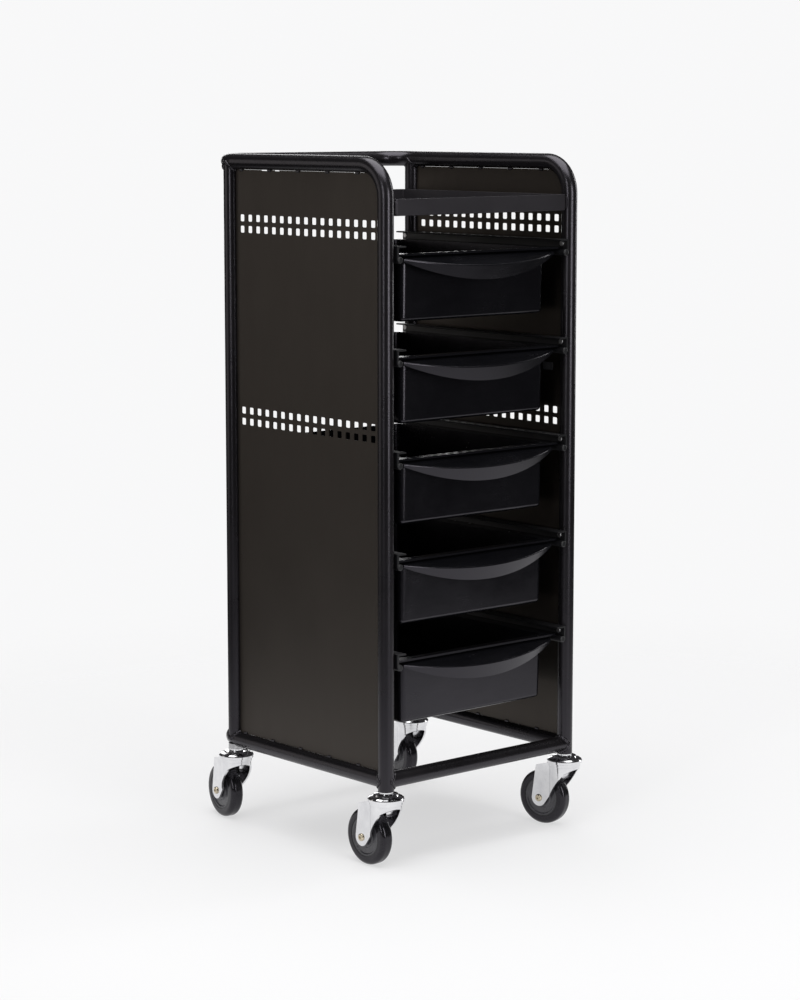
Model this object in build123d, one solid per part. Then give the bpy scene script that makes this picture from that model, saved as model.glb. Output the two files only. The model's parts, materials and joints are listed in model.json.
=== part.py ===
from build123d import *
import os
from math import asin, degrees, sqrt

# Spa trolley cart, millimetres, +Z up, drawers open towards -Y, floor at Z = 0.
# The origin is on the floor, under the middle of the model's box.

# ---- driving dimensions -------------------------------------------------------
# frame
TUBE_R = 10.0
TUBE_WALL = 1.5
LEG_X = 154.0
LEG_DEPTH = 304.0
FRAME_MID_Y = -23.0
LEG_BOTTOM_Z = 98.5
TOP_Z = 867.5
BASE_Z = 111.7
BEND_R = 40.0
REAR_OVERHANG = 32.0
COPE_GAP = 0.05
SOCKET_R = 6.8
SOCKET_LENGTH = 26.0
COLLAR_H = 7.0

# side panels
PANEL_T = 1.2
PANEL_GAP = 0.2
PANEL_SIDE_GAP = 0.3
HOLE_W = 8.6
HOLE_H = 8.8
HOLE_CORNER_R = 1.6
HOLES_PER_ROW = 17
HOLE_END_INSET = 23.0
HOLE_ROW_Z = (796.0, 781.6, 549.0, 534.6)
LEFT_SLITS = ((-124.0, 8.0), (29.0, 10.0), (48.0, 18.0))
SLIT_H = 1.2
WELD_LENGTH = 7.0
WELD_T = 4.0
WELD_H = 5.0
WELD_ROUND = 1.2
WELD_END_MARGIN = 12.0
WELDS_PER_EDGE = 5

# top tray
TRAY_X = 142.4
TRAY_FRONT = 5.5
TRAY_REAR = 5.3
TRAY_BOTTOM_Z = 806.0
TRAY_H = 20.5
TRAY_T = 1.5
TRAY_CORNER_R = 2.5
TRAY_FOLD_R = 2.3
TRAY_RIM_R = 0.5
BRACKET_L = 14.0
BRACKET_H = 15.0
BRACKET_CORNER_R = 2.0

# drawers and their runners
DRAWERS = 5
DRAWER_Z = 753.8
DRAWER_PITCH = 125.0
RUNNER_FRONT = 11.0
RUNNER_REAR = 6.0
RUNNER_BEAD_R = 4.15
RUNNER_BEAD_X = 139.2
RUNNER_BEAD_Z = -0.55
RUNNER_BEAD_END_R = 1.6
RUNNER_TOP_Z = 16.4
RUNNER_FLANGE_T = 2.0
RUNNER_WEB_T = 2.6
RUNNER_INNER_X = 129.5
SCREW_R = 2.0
SCREW_HEAD_R = 3.6
SCREW_HEAD_T = 1.3
SCREW_HEAD_ROUND = 0.9
SCREW_Z = 10.6
TUB_X = 121.5
TUB_FRONT = -9.5
TUB_LENGTH = 286.0
TUB_H = 83.5
TUB_WALL = 2.2
TUB_DRAFT = 1.2
TUB_CORNER_R = 9.0
TUB_FLOOR_R = 5.0
RIM_X = 140.2
RIM_TOP = 6.3
RIM_T = 2.5
RIM_FRONT = 1.0
RIM_REAR = 6.0
RIM_CORNER_R = 6.0
GRIP_X = 126.2
GRIP_TIP = 2.0
GRIP_BOW = 27.0
GRIP_SLOPE = 0.42
GRIP_LEAN = 0.3
GRIP_TIP_DROP = 3.0
GRIP_DROP = 28.0
GRIP_WALL = 2.2
GRIP_EDGE_R = 1.4
GRIP_HOLLOW_BOW = GRIP_BOW - 0.35
GRIP_STOCK_TOP = 8.0
GRIP_STOCK_LOW = 50.0

# casters: where each stands, and how far its trail is swivelled off straight back
CASTERS = {
    "front_left": (-1, -1, 0.0),
    "front_right": (1, -1, -11.0),
    "rear_left": (-1, 1, 9.0),
    "rear_right": (1, 1, 5.0),
}
RUN_FIT = 0.05
TRAIL = 31.0
WHEEL_R = 36.0
WHEEL_W = 18.0
TREAD_R = 6.0
HUB_R = 25.5
HUB_BOSS_R = 9.5
HUB_RECESS = 3.4
HUB_INSET = 0.4
COVER_R = 24.2
COVER_RIM = 1.4
COVER_T = 1.5
COVER_DISH_R = 14.5
FORK_IN = 11.6
FORK_T = 2.4
FORK_OUT = FORK_IN + FORK_T
FORK_END_R = 11.0
SWEEP_START = (-9.0, 73.0)
SWEEP_R = 14.0
SKIRT_Z = 80.0
CHEEK_CORNER = (36.0, 80.0)
CROWN_R = 20.0
CROWN_TOP = 85.0
LIP_R = 21.0
LIP_BOTTOM = 82.2
LIP_TOP = 87.2
LIP_ROUND = 0.8
RACE_R = 23.0
RACE_T = 1.6
RACE_BOTTOM = 87.0
NECK_R = 9.7
PIN_R = 6.0
PIN_HEAD_R = 9.0
PIN_HEAD_Z = 79.0
PIN_HEAD_T = 3.4
STEM_R = 5.0
STEM_LENGTH = 22.0
BALL_R = 2.0
BALL_TRACK_R = 14.5
BALL_Z = 88.7
BALLS = 12
AXLE_R = 3.0
AXLE_HEAD_R = 4.8
AXLE_HEAD_T = 2.2
AXLE_SOCKET_R = 1.9
AXLE_SOCKET_DEPTH = 1.0
AXLE_END = 4.6
NUT_R = 5.0
NUT_T = 4.0
BUSH_R = 5.0
BOSS_FIT = 0.35

# label
PLATE_SIZE = (0.6, 18.0, 10.0)
PLATE_CORNER_R = 1.2
PLATE_BACK = 36.0
PLATE_Z = 605.0

# ---- derived places -----------------------------------------------------------
FRONT_Y = FRAME_MID_Y - LEG_DEPTH / 2
REAR_Y = FRAME_MID_Y + LEG_DEPTH / 2
LOOP_Y = REAR_Y + REAR_OVERHANG
LEG_INNER_X = LEG_X - TUBE_R
SIDES = {"left": -1, "right": 1}

nodes = {}


def tube_ring():
    return Circle(TUBE_R) - Circle(TUBE_R - TUBE_WALL)


def leg_space(side, y, grow=COPE_GAP):
    """The full-height cylinder that a leg takes up, which other tubes are coped to."""
    return Pos(side * LEG_X, y, TOP_Z / 2) * Cylinder(TUBE_R + grow, TOP_Z + 200)


# ---- frame --------------------------------------------------------------------
def loop_path(z, ends=()):
    """The rounded U that both loops follow in plan, with any further points at its ends."""
    u = [(-LEG_X, FRONT_Y, z), (-LEG_X, LOOP_Y, z), (LEG_X, LOOP_Y, z), (LEG_X, FRONT_Y, z)]
    points = [*ends[:1], *u, *ends[1:]]
    return FilletPolyline(*points, radius=BEND_R)


def loop_space(z, grow=COPE_GAP):
    """The room that a loop takes up, which the pieces that meet it are coped to."""
    start = Plane(origin=(-LEG_X, FRONT_Y, z), x_dir=(1, 0, 0), z_dir=(0, 1, 0))
    return sweep(start * Circle(TUBE_R + grow), path=loop_path(z))


def top_loop():
    """One bent tube: up the front legs, back along both sides and across the rear."""
    feet = [(side * LEG_X, FRONT_Y, LEG_BOTTOM_Z) for side in SIDES.values()]
    start = Plane(origin=feet[0], z_dir=(0, 0, 1))
    return sweep(start * tube_ring(), path=loop_path(TOP_Z, feet))


def base_loop():
    """A U of tube round the foot of the frame, coped to the front legs."""
    start = Plane(origin=(-LEG_X, FRONT_Y, BASE_Z), x_dir=(1, 0, 0), z_dir=(0, 1, 0))
    tube = sweep(start * tube_ring(), path=loop_path(BASE_Z))
    for side in SIDES.values():
        tube -= leg_space(side, FRONT_Y)
        tube -= Pos(side * LEG_X, REAR_Y, BASE_Z) * Cylinder(SOCKET_R + COPE_GAP, 40)
    return tube


def front_bar():
    bar = Pos(0, FRONT_Y, BASE_Z) * Rot(0, 90, 0) * extrude(tube_ring(), LEG_X, both=True)
    for side in SIDES.values():
        bar -= leg_space(side, FRONT_Y)
    return largest(bar - loop_space(BASE_Z))


def rear_leg(side):
    """A straight upright between the two loops, coped to both."""
    leg = Pos(side * LEG_X, REAR_Y, BASE_Z) * extrude(tube_ring(), TOP_Z - BASE_Z)
    return largest(leg - loop_space(TOP_Z) - loop_space(BASE_Z))


def largest(shape):
    return shape.solids().sort_by(SortBy.VOLUME)[-1]


def caster_socket(side, y):
    """Threaded plug for a stem: in a front leg's end, or up through the base loop."""
    up = (Align.CENTER, Align.CENTER, Align.MIN)
    foot = Pos(side * LEG_X, y, LEG_BOTTOM_Z)
    bore = foot * Cylinder(STEM_R + COPE_GAP, 4 * SOCKET_LENGTH)
    if y == FRONT_Y:
        return foot * Cylinder(TUBE_R - TUBE_WALL - COPE_GAP, SOCKET_LENGTH, align=up) - bore
    collar = foot * Cylinder(TUBE_R, COLLAR_H, align=up) - loop_space(BASE_Z, 2 * COPE_GAP)
    return foot * Cylinder(SOCKET_R, SOCKET_LENGTH + COLLAR_H, align=up) + largest(collar) - bore


# ---- side panels --------------------------------------------------------------
def panel_outline():
    """Flat sheet between the legs, its front top corner following the tube's bend."""
    y0 = FRONT_Y + TUBE_R + PANEL_SIDE_GAP
    y1 = REAR_Y - TUBE_R - PANEL_SIDE_GAP
    z0 = BASE_Z + TUBE_R + PANEL_GAP
    z1 = TOP_Z - TUBE_R - PANEL_GAP
    sheet = Plane.YZ * Pos((y0 + y1) / 2, (z0 + z1) / 2) * Rectangle(y1 - y0, z1 - z0)
    corner = sheet.vertices().sort_by(Axis.Z)[-2:].sort_by(Axis.Y)[0]
    return fillet(corner, BEND_R - TUBE_R - PANEL_GAP)


def hole_places():
    span = LEG_DEPTH - 2 * HOLE_END_INSET
    pitch = span / (HOLES_PER_ROW - 1)
    first = FRONT_Y + HOLE_END_INSET
    return [(first + i * pitch, z) for z in HOLE_ROW_Z for i in range(HOLES_PER_ROW)]


def side_panel(side):
    """Perforated sheet; the left one was trimmed a little short in three places on top."""
    sheet = extrude(panel_outline(), PANEL_T / 2, both=True)
    holes = Sketch() + [
        Pos(y, z) * RectangleRounded(HOLE_W, HOLE_H, HOLE_CORNER_R) for y, z in hole_places()
    ]
    sheet -= extrude(Plane.YZ * holes, PANEL_T, both=True)
    if side < 0:
        for y, length in LEFT_SLITS:
            sheet -= Pos(0, y + length / 2, TOP_Z - TUBE_R) * Box(PANEL_T, length, 2 * SLIT_H)
    return Pos(side * LEG_X, 0, 0) * sheet


def tack_welds(side):
    """Short beads over the joint of the sheet and the tubes, along its top and bottom."""
    y0 = FRONT_Y + BEND_R + WELD_END_MARGIN
    y1 = REAR_Y - TUBE_R - WELD_END_MARGIN
    step = (y1 - y0) / (WELDS_PER_EDGE - 1)
    sheet = Pos(side * LEG_X, 0, TOP_Z / 2) * Box(PANEL_T, 2 * LEG_DEPTH, TOP_Z)
    bead = Box(WELD_T, WELD_LENGTH, WELD_H)
    bead = fillet(bead.edges(), WELD_ROUND)
    welds = []
    for z, inward in ((TOP_Z, -1), (BASE_Z, 1)):
        edge = z + inward * TUBE_R
        tube = Pos(side * LEG_X, FRAME_MID_Y, z) * Rot(90, 0, 0) * Cylinder(TUBE_R, LEG_DEPTH)
        for i in range(WELDS_PER_EDGE):
            welds.append(Pos(side * LEG_X, y0 + i * step, edge) * bead - tube - sheet)
    return welds


# ---- top tray -----------------------------------------------------------------
def tray():
    """A folded sheet pan with upstanding lips on all four sides."""
    depth = LEG_DEPTH + TRAY_FRONT + TRAY_REAR
    mid_y = FRAME_MID_Y + (TRAY_REAR - TRAY_FRONT) / 2
    outer = extrude(RectangleRounded(2 * TRAY_X, depth, TRAY_CORNER_R), TRAY_H)
    outer = fillet(outer.faces().sort_by(Axis.Z)[0].edges(), TRAY_FOLD_R)
    hollow = RectangleRounded(2 * TRAY_X - 2 * TRAY_T, depth - 2 * TRAY_T, TRAY_CORNER_R - TRAY_T)
    inner = Pos(0, 0, TRAY_T) * extrude(hollow, TRAY_H)
    pan = outer - inner
    rim = pan.faces().sort_by(Axis.Z)[-1]
    pan = fillet(rim.edges(), TRAY_RIM_R)
    return Pos(0, mid_y, TRAY_BOTTOM_Z) * pan


def tray_brackets():
    """Four flat tabs that carry the tray's side lips off the legs."""
    thick = LEG_INNER_X - TRAY_X - 2 * COPE_GAP
    x = (LEG_INNER_X + TRAY_X) / 2
    z = TRAY_BOTTOM_Z + TRAY_H / 2
    tab = Box(thick, BRACKET_L, BRACKET_H)
    tab = fillet(tab.edges().filter_by(Axis.X), BRACKET_CORNER_R)
    return [
        Pos(side * x, y, z) * tab for side in SIDES.values() for y in (FRONT_Y + 1, REAR_Y - 1)
    ]


# ---- runners ------------------------------------------------------------------
def runner(side, level):
    """Channel rail: top flange, web against the legs and a round bead that carries the rim."""
    web_x = LEG_INNER_X - COPE_GAP
    web_h = RUNNER_TOP_Z - RUNNER_BEAD_Z
    web = Pos(web_x - RUNNER_WEB_T / 2, RUNNER_BEAD_Z + web_h / 2) * Rectangle(RUNNER_WEB_T, web_h)
    flange_w = web_x - RUNNER_INNER_X
    flange = Pos(web_x - flange_w / 2, RUNNER_TOP_Z - RUNNER_FLANGE_T / 2) * Rectangle(
        flange_w, RUNNER_FLANGE_T
    )
    section = web + flange
    section = fillet(section.vertices().sort_by(Axis.X)[:2], RUNNER_FLANGE_T / 2 - 0.05)
    length = LEG_DEPTH + RUNNER_FRONT + RUNNER_REAR
    start = FRONT_Y - RUNNER_FRONT
    plane = Plane(origin=(0, start + 1, level), x_dir=(1, 0, 0), z_dir=(0, -1, 0))
    rail = extrude(plane * section, -(length - 2))
    rod = Cylinder(RUNNER_BEAD_R, length)
    rod = fillet(rod.edges().filter_by(GeomType.CIRCLE), RUNNER_BEAD_END_R)
    rail += Pos(RUNNER_BEAD_X, start + length / 2, level + RUNNER_BEAD_Z) * Rot(90, 0, 0) * rod
    for y in (FRONT_Y, REAR_Y):
        rail -= Pos(web_x, y, level + SCREW_Z) * Rot(0, 90, 0) * Cylinder(SCREW_R + COPE_GAP, 20)
    return rail if side > 0 else mirror(rail, Plane.YZ)


def runner_screws():
    """Low pan heads inside the channel, their shanks through the web into the legs."""
    head = standing(SCREW_HEAD_R, -SCREW_HEAD_T, 0)
    head = fillet(head.edges().sort_by(Axis.Z)[:1], SCREW_HEAD_ROUND)
    shank = standing(SCREW_R, 0, RUNNER_WEB_T + COPE_GAP / 2)
    screw = Rot(0, 90, 0) * (head + shank)
    x = LEG_INNER_X - COPE_GAP - RUNNER_WEB_T
    screws = []
    for i in range(DRAWERS):
        for y in (FRONT_Y, REAR_Y):
            here = Pos(x, y, drawer_level(i) + SCREW_Z) * screw
            screws += [here, mirror(here, Plane.YZ)]
    return screws


def drawer_level(i):
    return DRAWER_Z - i * DRAWER_PITCH


# ---- drawers ------------------------------------------------------------------
def tub():
    """Open box with rounded corners; its top is the rim's top, local Y runs to the rear."""
    mid = -TUB_FRONT + TUB_LENGTH / 2
    top = Pos(0, mid, RIM_TOP) * RectangleRounded(2 * TUB_X, TUB_LENGTH, TUB_CORNER_R)
    outer = extrude(top, -TUB_H, taper=TUB_DRAFT)
    outer = fillet(outer.faces().sort_by(Axis.Z)[0].edges(), TUB_FLOOR_R)
    mouth = Pos(0, mid, RIM_TOP) * RectangleRounded(
        2 * (TUB_X - TUB_WALL), TUB_LENGTH - 2 * TUB_WALL, TUB_CORNER_R - TUB_WALL
    )
    inner = extrude(mouth, -(TUB_H - TUB_WALL), taper=TUB_DRAFT)
    inner = fillet(inner.faces().sort_by(Axis.Z)[0].edges(), TUB_FLOOR_R - TUB_WALL)
    return outer, inner


def grip_prism(x, tip, bow, low):
    """A bow-fronted prism whose front leans back towards its foot."""
    lift = GRIP_STOCK_TOP
    back = -TUB_FRONT + 1
    rise = Vector(0, GRIP_LEAN, -1)
    arc = ThreePointArc((-x, -tip), (0, -tip - bow), (x, -tip))
    rest = Polyline((x, -tip), (x, back), (-x, back), (-x, -tip))
    face = make_face([arc, *rest.edges()])
    start = Pos(0, -GRIP_LEAN * lift, lift) * face
    return Solid.extrude(start.face(), rise * (lift + low))


def grip():
    """Crescent pull: a top that slopes down as it bows out, and a lip with a smiling edge."""
    body = grip_prism(GRIP_X, GRIP_TIP, GRIP_BOW, GRIP_STOCK_LOW)
    hollow_x = GRIP_X - 2 * GRIP_WALL
    hollow = grip_prism(hollow_x, GRIP_TIP - GRIP_WALL, GRIP_HOLLOW_BOW, GRIP_STOCK_LOW + 1)
    tilt = Plane(origin=(0, -GRIP_TIP, 0), x_dir=(1, 0, 0), z_dir=(0, -GRIP_SLOPE, 1))
    above = tilt * Pos(0, 0, 100) * Box(400, 400, 200)
    under = tilt * Pos(0, 0, 100 - GRIP_WALL) * Box(400, 400, 200)
    body = Part() + body - above
    brow = (0, -GRIP_TIP - GRIP_BOW, -GRIP_SLOPE * GRIP_BOW)
    body = fillet(body.edges().sort_by_distance(brow)[0], GRIP_EDGE_R)
    hollow = Part() + hollow - under
    smile = make_face(
        [
            ThreePointArc((-GRIP_X, -GRIP_TIP_DROP), (0, -GRIP_DROP), (GRIP_X, -GRIP_TIP_DROP)),
            Line((GRIP_X, -GRIP_TIP_DROP), (GRIP_X, 20)),
            Line((GRIP_X, 20), (-GRIP_X, 20)),
            Line((-GRIP_X, 20), (-GRIP_X, -GRIP_TIP_DROP)),
        ]
    )
    keep = extrude(Plane.XZ * smile, 60, both=True)
    return (body - hollow) & keep


def drawer_at_origin():
    """The whole moulding, with its rest level at Z = 0 and the front legs' plane at Y = 0."""
    outer, inner = tub()
    rim_y0 = -RIM_FRONT
    rim_y1 = -TUB_FRONT + TUB_LENGTH + RIM_REAR
    rim = Pos(0, (rim_y0 + rim_y1) / 2, RIM_TOP - RIM_T) * extrude(
        RectangleRounded(2 * RIM_X, rim_y1 - rim_y0, RIM_CORNER_R), RIM_T
    )
    body = outer + rim + grip()
    body -= inner
    body -= Pos(0, 0, RIM_TOP + 10) * Box(400, 900, 20)
    return body


# ---- casters ------------------------------------------------------------------
def turned(points):
    """A solid of revolution about Z from (radius, height) points."""
    outline = Polyline(*[(r, 0, z) for r, z in points], close=True)
    return revolve(make_face(outline), Axis.Z)


def standing(radius, bottom, top):
    """An upright cylinder on the stem's axis between two heights."""
    up = (Align.CENTER, Align.CENTER, Align.MIN)
    return Pos(0, 0, bottom) * Cylinder(radius, top - bottom, align=up)


def race():
    """Fixed chrome cap of the swivel bearing, stepped and domed under the leg."""
    top = LEG_BOTTOM_Z - COPE_GAP
    ceiling = BALL_Z + 0.6 * BALL_R
    cap = turned(
        [
            (PIN_R + COPE_GAP, top),
            (NECK_R, top),
            (NECK_R, top - 1.7),
            (15.2, top - 2.8),
            (16.2, top - 4.6),
            (20.4, top - 6.0),
            (RACE_R - 0.7, top - 7.2),
            (RACE_R, top - 8.4),
            (RACE_R, RACE_BOTTOM),
            (RACE_R - RACE_T, RACE_BOTTOM),
            (RACE_R - RACE_T, ceiling),
            (PIN_R + COPE_GAP, ceiling),
        ]
    )
    return cap - Pos(0, 0, BALL_Z) * Torus(BALL_TRACK_R, BALL_R + COPE_GAP)


def kingpin():
    """Threaded stem above, plain journal through the bearing, closed head below."""
    stem = standing(STEM_R, LEG_BOTTOM_Z, LEG_BOTTOM_Z + STEM_LENGTH)
    journal = standing(PIN_R, PIN_HEAD_Z + PIN_HEAD_T / 2, LEG_BOTTOM_Z)
    head = standing(PIN_HEAD_R, PIN_HEAD_Z, PIN_HEAD_Z + PIN_HEAD_T)
    head = fillet(head.edges().sort_by(Axis.Z)[:1], 0.4 * PIN_HEAD_T)
    return stem + journal + head


def balls():
    return [
        Rot(0, 0, i * 360 / BALLS) * Pos(BALL_TRACK_R, 0, BALL_Z) * Sphere(BALL_R)
        for i in range(BALLS)
    ]


def touch(start, side):
    """Where the tangent from a point meets the fork's rounded end, on one side of it."""
    to_end = Vector(TRAIL - start[0], WHEEL_R - start[1])
    reach = sqrt(to_end.length**2 - FORK_END_R**2)
    turn = degrees(asin(FORK_END_R / to_end.length))
    along = to_end.normalized().rotate(Axis.Z, side * turn) * reach
    return start[0] + along.X, start[1] + along.Y


def fork_outline():
    """Side view: crown on top, front edge sweeping down to the rounded end at the axle."""
    front = -CROWN_R - 1
    low_front = touch(SWEEP_START, -1)
    low_rear = touch(CHEEK_CORNER, 1)
    edges = Polyline(
        low_front,
        SWEEP_START,
        (front, SKIRT_Z),
        (front, CROWN_TOP),
        (CROWN_R - FORK_T, CROWN_TOP),
        CHEEK_CORNER,
        low_rear,
    )
    end = ThreePointArc(low_rear, (TRAIL, WHEEL_R - FORK_END_R), low_front)
    face = make_face([*edges.edges(), end])
    sweep_corner = face.vertices().sort_by_distance((*SWEEP_START, 0))[0]
    return fillet(sweep_corner, SWEEP_R)


def fork():
    """Pressed fork: round crown, open behind, with flat cheeks that trail to the axle."""
    height = 2 * CROWN_TOP
    side = extrude(Plane.YZ * fork_outline(), LIP_R, both=True)
    tall = (Align.CENTER, Align.MIN, Align.MIN)
    outer = standing(CROWN_R, 0, height) + Box(2 * FORK_OUT, 3 * CROWN_R, height, align=tall)
    inner = standing(CROWN_R - FORK_T, 0, height)
    inner += Box(2 * FORK_IN, 4 * CROWN_R, height, align=tall)
    crown = standing(CROWN_R, CROWN_TOP - FORK_T, CROWN_TOP)
    lip = fillet(standing(LIP_R, LIP_BOTTOM, LIP_TOP).edges(), LIP_ROUND)
    lip -= standing(CROWN_R - FORK_T, 0, CROWN_TOP - FORK_T)
    body = (side & outer) - inner + crown + lip
    body -= standing(PIN_R + RUN_FIT, 0, height)
    body -= Pos(0, 0, BALL_Z) * Torus(BALL_TRACK_R, BALL_R + 6 * RUN_FIT)
    return body - on_axle(Cylinder(AXLE_R + RUN_FIT, 4 * FORK_OUT))


def on_axle(shape):
    """Turns a part built along Z on to the wheel's axle, which runs along X."""
    return Pos(0, TRAIL, WHEEL_R) * Rot(0, 90, 0) * shape


def axle_bolt():
    """Domed head with a round socket on the outer cheek, and a plain shank."""
    head = standing(AXLE_HEAD_R, -FORK_OUT - AXLE_HEAD_T, -FORK_OUT)
    head = fillet(head.edges().sort_by(Axis.Z)[:1], 0.7 * AXLE_HEAD_T)
    socket_end = -FORK_OUT - AXLE_HEAD_T + AXLE_SOCKET_DEPTH
    socket = standing(AXLE_SOCKET_R, -2 * FORK_OUT, socket_end)
    return on_axle(standing(AXLE_R, -FORK_OUT, FORK_OUT + AXLE_END) + head - socket)


def axle_nut():
    """Hexagon nut with its outer corners rounded off."""
    nut = Pos(0, 0, FORK_OUT) * extrude(RegularPolygon(NUT_R, 6, major_radius=False), NUT_T)
    base = (Align.CENTER, Align.CENTER, Align.MIN)
    rounding = Pos(0, 0, FORK_OUT) * Cone(1.45 * NUT_R, 0.92 * NUT_R, 1.3 * NUT_T, align=base)
    return on_axle((nut & rounding) - Cylinder(AXLE_R + COPE_GAP, 6 * FORK_OUT))


def bush():
    tube = extrude(Circle(BUSH_R) - Circle(AXLE_R + COPE_GAP), FORK_IN - COPE_GAP, both=True)
    return on_axle(tube)


def tyre():
    """Rubber ring with a low crown and rounded shoulders."""
    ring = extrude(Circle(WHEEL_R) - Circle(HUB_R), WHEEL_W / 2, both=True)
    shoulders = ring.edges().filter_by(GeomType.CIRCLE).filter_by(
        lambda edge: edge.radius > WHEEL_R - RUN_FIT
    )
    return on_axle(fillet(shoulders, TREAD_R))


def hub():
    """Core disc with a boss for the bush and a shallow recess for a cover on each face."""
    face = WHEEL_W / 2 - HUB_INSET
    floor = WHEEL_W / 2 - HUB_RECESS
    boss = FORK_IN - BOSS_FIT
    half = [
        (BUSH_R + RUN_FIT, boss),
        (HUB_BOSS_R, boss),
        (HUB_BOSS_R, floor),
        (COVER_R, floor),
        (COVER_R, face),
        (HUB_R - COPE_GAP, face),
    ]
    mirrored = [(r, -z) for r, z in reversed(half)]
    return on_axle(turned(half + mirrored))


def hub_covers():
    """Two dished dust covers, pressed into the hub's recesses."""
    back = WHEEL_W / 2 - HUB_RECESS + COPE_GAP
    front = back + COVER_T
    outer = COVER_R - COPE_GAP
    cover = turned(
        [
            (HUB_BOSS_R + 2 * COPE_GAP, back),
            (outer, back),
            (outer, WHEEL_W / 2 - HUB_INSET),
            (outer - COVER_RIM, WHEEL_W / 2 - HUB_INSET),
            (outer - 2 * COVER_RIM, front),
            (COVER_DISH_R, front),
            (COVER_DISH_R - COVER_T, front + COVER_T),
            (HUB_BOSS_R + 2 * COPE_GAP, front + COVER_T),
        ]
    )
    return [on_axle(cover), on_axle(Rot(180, 0, 0) * cover)]


# ---- label --------------------------------------------------------------------
def label_plate():
    """Blank stuck-on plate inside the right panel."""
    plate = Box(*PLATE_SIZE)
    plate = fillet(plate.edges().filter_by(Axis.X), PLATE_CORNER_R)
    x = LEG_X - PANEL_T / 2 - PLATE_SIZE[0] / 2 - COPE_GAP
    return Pos(x, FRONT_Y + PLATE_BACK, PLATE_Z) * plate


# ---- assembly -----------------------------------------------------------------
def build():
    nodes["top_loop_tube"] = top_loop()
    nodes["base_loop_tube"] = base_loop()
    nodes["front_base_bar"] = front_bar()
    nodes["tray_pan"] = tray()
    nodes["tray_brackets"] = tray_brackets()
    nodes["blank_label_plate"] = label_plate()
    nodes["runner_screws"] = runner_screws()
    for name, side in SIDES.items():
        nodes[f"rear_leg_{name}"] = rear_leg(side)
        nodes[f"side_panel_{name}"] = side_panel(side)
        for i in range(DRAWERS):
            nodes[f"runner_{name}_{i + 1}"] = runner(side, drawer_level(i))
    nodes["panel_tack_welds"] = [w for side in SIDES.values() for w in tack_welds(side)]

    moulding = drawer_at_origin()
    for i in range(DRAWERS):
        nodes[f"drawer_{i + 1}"] = Pos(0, FRONT_Y, drawer_level(i)) * moulding

    sockets, pins, races, rings = [], [], [], []
    for corner, (side, end, yaw) in CASTERS.items():
        y = FRONT_Y if end < 0 else REAR_Y
        up = Pos(side * LEG_X, y, 0)
        place = up * Rot(0, 0, -yaw)
        sockets.append(caster_socket(side, y))
        pins.append(up * kingpin())
        races.append(up * race())
        rings += [up * ball for ball in balls()]
        nodes[f"caster_fork_{corner}"] = place * fork()
        nodes[f"axle_bolt_{corner}"] = place * axle_bolt()
        nodes[f"axle_nut_{corner}"] = place * axle_nut()
        nodes[f"axle_bush_{corner}"] = place * bush()
        nodes[f"tyre_{corner}"] = place * tyre()
        nodes[f"wheel_hub_{corner}"] = place * hub()
        nodes[f"hub_covers_{corner}"] = [place * c for c in hub_covers()]
    nodes["caster_sockets"] = sockets
    nodes["caster_kingpins"] = pins
    nodes["caster_races"] = races
    nodes["bearing_balls"] = rings


def solids_of(shape):
    """Every separate solid of a shape or of a list of shapes."""
    if isinstance(shape, list):
        return [solid for one in shape for solid in solids_of(one)]
    return list(shape.solids())


build()
os.makedirs("parts", exist_ok=True)
for node_name, node_shape in nodes.items():
    pieces = solids_of(node_shape)
    whole = pieces[0] if len(pieces) == 1 else Compound(children=pieces)
    export_step(whole, f"parts/{node_name}.step")
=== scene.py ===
import json
import math

import bpy
from mathutils import Euler, Matrix, Vector


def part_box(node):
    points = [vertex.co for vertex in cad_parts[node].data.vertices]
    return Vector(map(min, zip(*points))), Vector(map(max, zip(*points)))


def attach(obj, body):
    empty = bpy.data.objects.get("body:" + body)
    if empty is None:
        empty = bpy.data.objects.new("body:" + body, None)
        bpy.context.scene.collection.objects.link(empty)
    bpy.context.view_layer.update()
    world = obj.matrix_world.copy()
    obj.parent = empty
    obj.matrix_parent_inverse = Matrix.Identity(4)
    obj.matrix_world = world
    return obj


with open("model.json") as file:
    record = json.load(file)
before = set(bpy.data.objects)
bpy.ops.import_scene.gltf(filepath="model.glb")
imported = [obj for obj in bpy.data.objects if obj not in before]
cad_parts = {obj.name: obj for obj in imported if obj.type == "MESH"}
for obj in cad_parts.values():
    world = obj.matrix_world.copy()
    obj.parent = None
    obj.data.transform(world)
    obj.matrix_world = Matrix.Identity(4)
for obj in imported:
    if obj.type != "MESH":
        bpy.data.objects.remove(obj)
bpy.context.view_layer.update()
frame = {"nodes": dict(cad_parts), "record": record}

MM = 0.001


# ---- shader expressions -------------------------------------------------------
NOISE_LOW, NOISE_HIGH = 0.3, 0.7


class Socket:
    """A node's output, with the arithmetic that adds Math nodes."""

    def __init__(self, tree, out):
        self.tree = tree
        self.out = out

    def _math(self, operation, *values):
        return self.tree.node("ShaderNodeMath", {"operation": operation}, *values)

    def __add__(self, other):
        return self._math("ADD", self, other)

    def __radd__(self, other):
        return self._math("ADD", other, self)

    def __mul__(self, other):
        return self._math("MULTIPLY", self, other)

    def __rmul__(self, other):
        return self._math("MULTIPLY", other, self)


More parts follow.
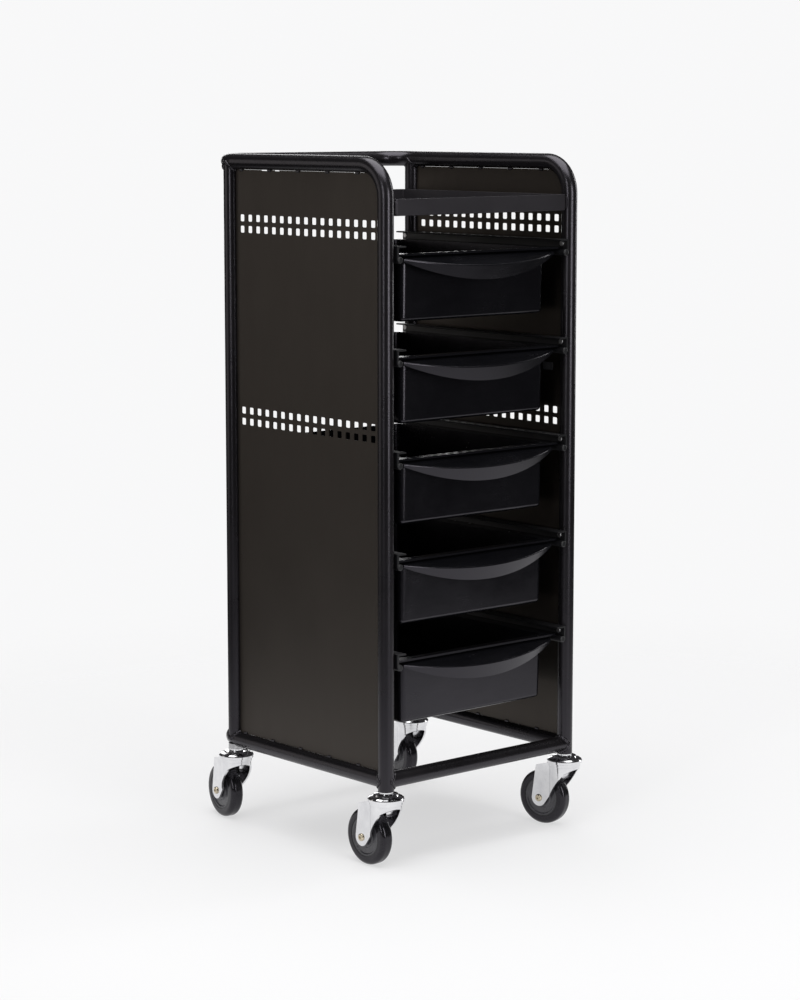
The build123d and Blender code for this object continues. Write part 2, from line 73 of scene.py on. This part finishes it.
class Finish:
    """One material: its Principled shader and the nodes that feed it."""

    def __init__(self, name, color, roughness, metallic=0.0, **constants):
        self.material = bpy.data.materials.new(name)
        self.material.use_nodes = True
        self.nodes = self.material.node_tree.nodes
        self.links = self.material.node_tree.links
        self.shader = next(n for n in self.nodes if n.type == "BSDF_PRINCIPLED")
        self.shader.inputs["Base Color"].default_value = (*color, 1.0)
        self.shader.inputs["Roughness"].default_value = roughness
        self.shader.inputs["Metallic"].default_value = metallic
        self.material.diffuse_color = (*color, 1.0)
        for socket, value in constants.items():
            self.shader.inputs[socket.replace("_", " ")].default_value = value
        self.place = self.node("ShaderNodeTexCoord", {}, out="Object")

    def node(self, kind, settings, *inputs, out=0, **named):
        """Adds a node, sets it up, then fills its sockets by position or by name."""
        made = self.nodes.new(kind)
        for key, value in settings.items():
            setattr(made, key, value)
        for key, value in [*enumerate(inputs), *named.items()]:
            socket = made.inputs[key if isinstance(key, int) else key.replace("_", " ")]
            self._fill(socket, value)
        return Socket(self, made.outputs[out])

    def _fill(self, socket, value):
        if isinstance(value, Socket):
            self.links.new(value.out, socket)
        elif value is not None:
            socket.default_value = value

    def noise(self, scale, detail=2.0, roughness=0.5, place=None, distortion=0.0):
        return self.node(
            "ShaderNodeTexNoise",
            {"noise_dimensions": "3D"},
            Vector=place or self.place,
            Scale=scale,
            Detail=detail,
            Roughness=roughness,
            Distortion=distortion,
        )

    def spread(self, value, low, high):
        """Maps a noise's middle range on to low..high."""
        return self.node("ShaderNodeMapRange", {}, value, NOISE_LOW, NOISE_HIGH, low, high)

    def mix(self, factor, one, other):
        made = self.nodes.new("ShaderNodeMix")
        made.data_type = "RGBA"
        self._fill(made.inputs["Factor"], factor)
        for socket, value in ((made.inputs[6], one), (made.inputs[7], other)):
            self._fill(socket, value if isinstance(value, Socket) else (*value, 1.0))
        return Socket(self, made.outputs[2])

    def stretched(self, scale):
        return self.node("ShaderNodeMapping", {}, self.place, Scale=scale)

    def bump(self, height, strength, distance):
        normal = self.node(
            "ShaderNodeBump", {}, Strength=strength, Distance=distance, Height=height
        )
        self.set(Normal=normal)

    def set(self, **sockets):
        for name, value in sockets.items():
            self._fill(self.shader.inputs[name.replace("_", " ")], value)


# ---- finishes -----------------------------------------------------------------
VIOLET_SHEEN = (0.93, 0.88, 1.0)
BROWN_SHEEN = (1.0, 0.85, 0.72)


def powder_coat(name, color, roughness, sheen):
    """Satin black powder coat: fine orange peel, faint cloudy wear and specks of dust."""
    f = Finish(name, color, roughness, Specular_Tint=(*sheen, 1.0))
    peel = f.noise(900.0, 2.0, 0.6)
    cloud = f.noise(9.0, 4.0, 0.55)
    rub = f.noise(60.0, 3.0, 0.6, f.stretched((1.0, 1.0, 0.25)))
    lighter = tuple(c * 1.35 + 0.0004 for c in color)
    f.set(
        Base_Color=f.mix(f.spread(cloud, 0.0, 1.0), color, lighter),
        Roughness=f.spread(cloud, roughness - 0.035, roughness + 0.035)
        + f.spread(rub, -0.02, 0.02),
    )
    f.bump(peel, 0.12, 0.0004)
    return f.material


def moulded_gloss(name, color):
    """Glossy injection-moulded plastic: soft sink marks, hairline scratches, dull smears."""
    f = Finish(name, color, 0.22, Specular_Tint=(*VIOLET_SHEEN, 1.0))
    smear = f.noise(14.0, 4.0, 0.6, distortion=0.4)
    scratch = f.noise(220.0, 2.0, 0.7, f.stretched((0.12, 1.0, 1.0)))
    sink = f.noise(16.0, 1.0, 0.4)
    lighter = tuple(c * 1.3 + 0.0006 for c in color)
    f.set(
        Base_Color=f.mix(f.spread(smear, 0.0, 0.8), color, lighter),
        Roughness=f.spread(smear, 0.18, 0.27) + f.spread(scratch, -0.01, 0.03),
    )
    f.bump(sink + scratch * 0.015, 0.07, 0.0016)
    return f.material


def extruded_plastic(name, color):
    """Runner plastic: fine draw lines along the rail."""
    f = Finish(name, color, 0.42)
    drawn = f.noise(700.0, 2.0, 0.6, f.stretched((1.0, 0.02, 1.0)))
    dust = f.noise(40.0, 5.0, 0.65)
    lighter = tuple(c * 1.6 + 0.001 for c in color)
    f.set(
        Base_Color=f.mix(f.spread(dust, 0.0, 0.7), color, lighter),
        Roughness=f.spread(drawn, 0.36, 0.5),
    )
    f.bump(drawn, 0.15, 0.0004)
    return f.material


def chrome(name):
    """Bright plate over pressed steel: faint waviness, haze and fine specks."""
    color = (0.82, 0.82, 0.83)
    f = Finish(name, color, 0.08, 1.0)
    haze = f.noise(55.0, 4.0, 0.6)
    wave = f.noise(90.0, 1.0, 0.4)
    f.set(
        Base_Color=f.mix(f.spread(haze, 0.0, 1.0), color, (0.70, 0.70, 0.72)),
        Roughness=f.spread(haze, 0.05, 0.17),
    )
    f.bump(wave, 0.10, 0.0006)
    return f.material


def plated(name, color, roughness):
    """Small zinc or nickel-brass hardware with turning marks and darker patches."""
    f = Finish(name, color, roughness, 1.0)
    patch = f.noise(380.0, 4.0, 0.6)
    darker = tuple(c * 0.55 for c in color)
    f.set(
        Base_Color=f.mix(f.spread(patch, 0.0, 0.8), color, darker),
        Roughness=f.spread(patch, roughness - 0.06, roughness + 0.12),
    )
    f.bump(patch, 0.2, 0.0002)
    return f.material


def tyre_rubber(name, color):
    """Hard grey tread: slight sheen, scuffed and dusty in bands."""
    f = Finish(name, color, 0.2, Specular_IOR_Level=0.38, Specular_Tint=(*VIOLET_SHEEN, 1.0))
    scuff = f.noise(70.0, 5.0, 0.62)
    grain = f.noise(1400.0, 2.0, 0.6)
    dusty = tuple(c * 1.7 + 0.004 for c in color)
    f.set(
        Base_Color=f.mix(f.spread(scuff, 0.0, 0.75), color, dusty),
        Roughness=f.spread(scuff, 0.10, 0.24),
    )
    f.bump(grain + scuff * 0.5, 0.12, 0.0003)
    return f.material


def matte_moulding(name, color, roughness=0.45):
    """Moulded cover plastic with a fine spark-eroded texture."""
    f = Finish(name, color, roughness)
    texture = f.noise(1800.0, 2.0, 0.6)
    stain = f.noise(60.0, 4.0, 0.6)
    darker = tuple(c * 0.7 for c in color)
    f.set(
        Base_Color=f.mix(f.spread(stain, 0.0, 0.8), color, darker),
        Roughness=f.spread(stain, roughness - 0.08, roughness + 0.08),
    )
    f.bump(texture, 0.12, 0.0002)
    return f.material


FINISHES = {
    "frame_black": powder_coat("frame_black", (0.0050, 0.0045, 0.0050), 0.27, VIOLET_SHEEN),
    "panel_black": powder_coat("panel_black", (0.0092, 0.0078, 0.0068), 0.42, BROWN_SHEEN),
    "tray_black": powder_coat("tray_black", (0.018, 0.0168, 0.0185), 0.40, VIOLET_SHEEN),
    "runner_black": extruded_plastic("runner_black", (0.006, 0.006, 0.007)),
    "drawer_black": moulded_gloss("drawer_black", (0.0032, 0.0033, 0.0042)),
    "screw_steel": plated("screw_steel", (0.55, 0.55, 0.56), 0.3),
    "label_grey": matte_moulding("label_grey", (0.10, 0.10, 0.11)),
    "caster_chrome": chrome("caster_chrome"),
    "axle_nickel": plated("axle_nickel", (0.66, 0.58, 0.44), 0.22),
    "tyre_grey": tyre_rubber("tyre_grey", (0.007, 0.0068, 0.0078)),
    "hub_black": matte_moulding("hub_black", (0.012, 0.012, 0.014)),
    "cover_grey": matte_moulding("cover_grey", (0.070, 0.068, 0.077), 0.26),
}


def coat_cad_nodes():
    """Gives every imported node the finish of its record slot."""
    for part in frame["record"]["subparts"]:
        mesh = frame["nodes"][part["node"]].data
        mesh.materials.clear()
        mesh.materials.append(FINISHES[part["material_slot"]])


# ---- weld beads round the frame's joints --------------------------------------
BEAD_R = 2.1 * MM
BEAD_RINGS = 72
BEAD_SIDES = 10
RIPPLE_RINGS = 3
RIPPLE_DEPTH = 0.45 * MM
OFF_CENTRE = 0.001 * MM


def middle_of(node):
    low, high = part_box(node)
    return (Vector(low) + Vector(high)) / 2


def select_points(piece, wanted):
    """Leaves the piece in edit mode with only the wanted points selected."""
    bpy.ops.object.mode_set(mode="EDIT")
    bpy.ops.mesh.select_mode(type="VERT")
    bpy.ops.mesh.select_all(action="DESELECT")
    bpy.ops.object.mode_set(mode="OBJECT")
    for point in piece.data.vertices:
        point.select = wanted(point.co)
    bpy.ops.object.mode_set(mode="EDIT")


def saddle_bead(tube_r):
    """A weld ring where an upright tube lands on a level one that runs along Y."""
    bpy.ops.object.select_all(action="DESELECT")
    bpy.ops.mesh.primitive_torus_add(
        major_radius=tube_r,
        minor_radius=BEAD_R,
        major_segments=BEAD_RINGS,
        minor_segments=BEAD_SIDES,
    )
    bead = bpy.context.object

    def in_trough(co):
        ring = round(math.atan2(co.y, co.x) / math.tau * BEAD_RINGS)
        return ring % RIPPLE_RINGS == 0

    select_points(bead, in_trough)
    bpy.ops.transform.shrink_fatten(value=-RIPPLE_DEPTH)
    for half in (1, -1):
        select_points(bead, lambda co, half=half: co.y * half > OFF_CENTRE)
        bpy.ops.transform.rotate(
            value=-half * math.radians(45.0), orient_axis="X", center_override=(0.0, 0.0, 0.0)
        )
        lengthen = math.sqrt(2.0)
        bpy.ops.transform.resize(
            value=(1.0, lengthen, lengthen), center_override=(0.0, 0.0, 0.0)
        )
    bpy.ops.object.mode_set(mode="OBJECT")
    smooth = bead.modifiers.new("smooth", "SUBSURF")
    smooth.levels = smooth.render_levels = 1
    bpy.ops.object.modifier_apply(modifier=smooth.name)
    bpy.ops.object.shade_smooth()
    return bead


def place_bead(pattern, name, place, branch, main):
    """Copies the pattern to a joint: branch is the way the upright tube leaves it."""
    bead = pattern.copy()
    bead.data = pattern.data.copy()
    bead.name = name
    bpy.context.scene.collection.objects.link(bead)
    up, along = Vector(branch), Vector(main)
    turn = Matrix((along.cross(up), along, up)).transposed().to_4x4()
    bead.matrix_world = Matrix.Translation(place) @ turn
    bpy.ops.object.select_all(action="DESELECT")
    bead.select_set(True)
    bpy.context.view_layer.objects.active = bead
    bpy.ops.object.transform_apply(location=True, rotation=True, scale=True)
    bead.data.materials.append(FINISHES["frame_black"])
    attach(bead, "frame")


def weld_the_frame():
    bar = middle_of("front_base_bar")
    low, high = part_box("rear_leg_left")
    tube_r = (high[0] - low[0]) / 2
    top_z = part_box("top_loop_tube")[1][2] - tube_r
    pattern = saddle_bead(tube_r)
    for side_name, side in (("left", -1), ("right", 1)):
        rear = middle_of(f"rear_leg_{side_name}")
        front = (rear.x, bar.y, bar.z)
        x, y, z = (1, 0, 0), (0, 1, 0), (0, 0, 1)
        inward, down = (-side, 0, 0), (0, 0, -1)
        joints = (
            ("front_bar", front, inward, z),
            ("base_rail", front, y, z),
            ("rear_foot", (rear.x, rear.y, bar.z), z, y),
            ("rear_top", (rear.x, rear.y, top_z), down, y),
        )
        for joint, place, branch, main in joints:
            place_bead(pattern, f"weld_{joint}_{side_name}", place, branch, main)
    bpy.data.objects.remove(pattern)


# ---- room, light and camera ---------------------------------------------------
FLOOR_SIZE = 9.0
FLOOR_BRIGHT_R = 0.65
FLOOR_FADE_R = 1.6
FLOOR_MIDDLE = (-0.1, 0.1, 0.0)
PAPER_WHITE = (0.94, 0.94, 0.945)
PAPER_BASE = (0.34, 0.34, 0.342)
PAPER_GLOW = 0.62
ROOM_DARK = (0.035, 0.034, 0.036)


def studio_floor():
    """Pale paper under the trolley, which fades out before its own edge."""
    bpy.ops.object.select_all(action="DESELECT")
    bpy.ops.mesh.primitive_plane_add(size=FLOOR_SIZE)
    floor = bpy.context.object
    floor.name = "studio_floor"
    paper = Finish("studio_paper", PAPER_BASE, 0.9, Specular_IOR_Level=0.0)
    paper.shader.inputs["Emission Color"].default_value = (*PAPER_WHITE, 1.0)
    paper.shader.inputs["Emission Strength"].default_value = PAPER_GLOW
    tree, place = paper.material.node_tree, paper.place
    centred = paper.node("ShaderNodeMapping", {}, place, Location=FLOOR_MIDDLE)
    far = paper.node("ShaderNodeVectorMath", {"operation": "LENGTH"}, centred, out=1)
    smooth = {"interpolation_type": "SMOOTHSTEP"}
    fade = paper.node(
        "ShaderNodeMapRange", smooth, far, FLOOR_BRIGHT_R, FLOOR_FADE_R, 0.0, 1.0
    )
    clear = tree.nodes.new("ShaderNodeBsdfTransparent")
    blend = tree.nodes.new("ShaderNodeMixShader")
    output = next(n for n in tree.nodes if n.type == "OUTPUT_MATERIAL")
    tree.links.new(fade.out, blend.inputs[0])
    tree.links.new(paper.shader.outputs[0], blend.inputs[1])
    tree.links.new(clear.outputs[0], blend.inputs[2])
    tree.links.new(blend.outputs[0], output.inputs["Surface"])
    floor.data.materials.append(paper.material)


def softbox(name, place, target, width, height, watts, color=(1.0, 1.0, 1.0)):
    light = bpy.data.lights.new(name, "AREA")
    light.shape = "RECTANGLE"
    light.size = width
    light.size_y = height
    light.energy = watts
    light.color = color
    lamp = bpy.data.objects.new(name, light)
    lamp.location = place
    aim = Vector(target) - Vector(place)
    lamp.rotation_euler = aim.to_track_quat("-Z", "Y").to_euler()
    bpy.context.scene.collection.objects.link(lamp)


def studio_room():
    """White paper behind the trolley to look at, and a dim room for it to reflect."""
    world = bpy.data.worlds.new("studio_room")
    world.use_nodes = True
    nodes, links = world.node_tree.nodes, world.node_tree.links
    dim = nodes["Background"]
    dim.inputs["Color"].default_value = (*ROOM_DARK, 1.0)
    white = nodes.new("ShaderNodeBackground")
    white.inputs["Color"].default_value = (*PAPER_WHITE, 1.0)
    seen = nodes.new("ShaderNodeLightPath")
    blend = nodes.new("ShaderNodeMixShader")
    links.new(seen.outputs["Is Camera Ray"], blend.inputs[0])
    links.new(dim.outputs[0], blend.inputs[1])
    links.new(white.outputs[0], blend.inputs[2])
    links.new(blend.outputs[0], nodes["World Output"].inputs["Surface"])
    bpy.context.scene.world = world


def light_studio():
    studio_room()
    middle = (0.0, 0.0, 0.45)
    softbox("overhead", (-0.2, -0.2, 2.7), (0.0, 0.0, 0.0), 2.6, 2.6, 85.0)
    softbox("front_strip", (0.05, -2.9, 0.95), middle, 0.7, 1.6, 26.0)
    softbox("left_wall", (-2.9, 2.2, 0.9), middle, 2.4, 2.0, 11.0, (1.0, 0.96, 0.92))
    softbox("left_strip", (-3.0, -1.2, 1.3), middle, 0.5, 1.8, 18.0)
    softbox("right_strip", (3.0, -0.4, 1.2), middle, 0.6, 1.8, 16.0)
    softbox("rear_right", (1.8, 3.0, 1.3), middle, 1.6, 1.8, 22.0)


CAMERA_PLACE = (-2.2624, -2.6372, 0.9315)
CAMERA_PITCH = 8.234
CAMERA_HEADING = -40.879
CAMERA_LENS = 96.86


def place_camera():
    data = bpy.data.cameras.new("main_view")
    data.lens = CAMERA_LENS
    camera = bpy.data.objects.new("main_view", data)
    camera.location = CAMERA_PLACE
    camera.rotation_euler = Euler(
        (math.radians(90.0 - CAMERA_PITCH), 0.0, math.radians(CAMERA_HEADING))
    )
    bpy.context.scene.collection.objects.link(camera)
    bpy.context.scene.camera = camera


place_camera()
coat_cad_nodes()
weld_the_frame()
studio_floor()
light_studio()
bpy.context.scene.view_settings.view_transform = "Standard"
